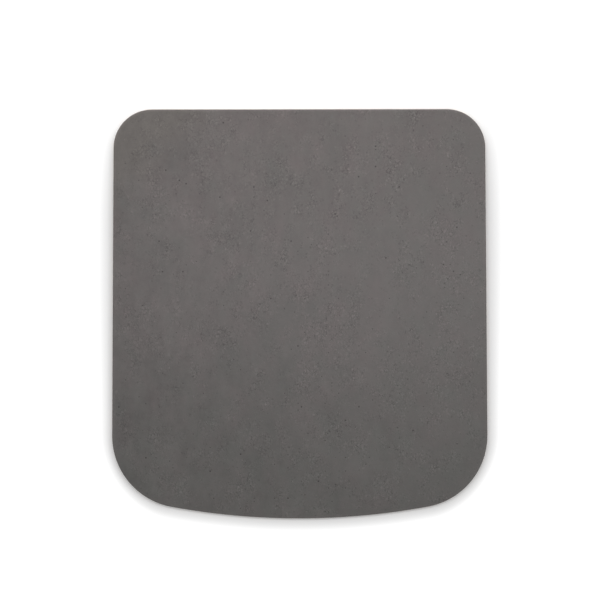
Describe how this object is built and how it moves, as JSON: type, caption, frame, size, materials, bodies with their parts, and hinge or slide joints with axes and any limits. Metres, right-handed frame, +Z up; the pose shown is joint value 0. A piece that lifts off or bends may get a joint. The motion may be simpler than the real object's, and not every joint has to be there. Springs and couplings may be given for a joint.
{
  "type": "mouse pad",
  "caption": "Flat leather mouse pad with a straight back edge, rounded corners and a bowed front edge, bonded over a stiffening board to a cork base that grips the desk.",
  "frame": {"origin": "middle of the underside: the bottom centre of the pad's bounding box, on the desk", "axes": "+Z up from the desk to the mouse, +Y to the straight back edge, +X to the user's right; the pad is mirrored in X"},
  "size_m": [0.222, 0.242, 0.0048],
  "materials": {
    "leather": "smooth full-grain leather, warm mid grey, open hair pores, low sheen, burnished cut edge",
    "fibreboard": "black pressed fibre stiffener, matte",
    "bond_film": "cured acrylic transfer adhesive, cloudy amber",
    "cork": "fine-granule pressed cork, sanded, matte"
  },
  "bodies": {
    "root": {"cork_base": "cork", "lower_bond_film": "bond_film", "stiffening_board": "fibreboard", "upper_bond_film": "bond_film", "leather_top": "leather"}
  },
  "joints": []
}
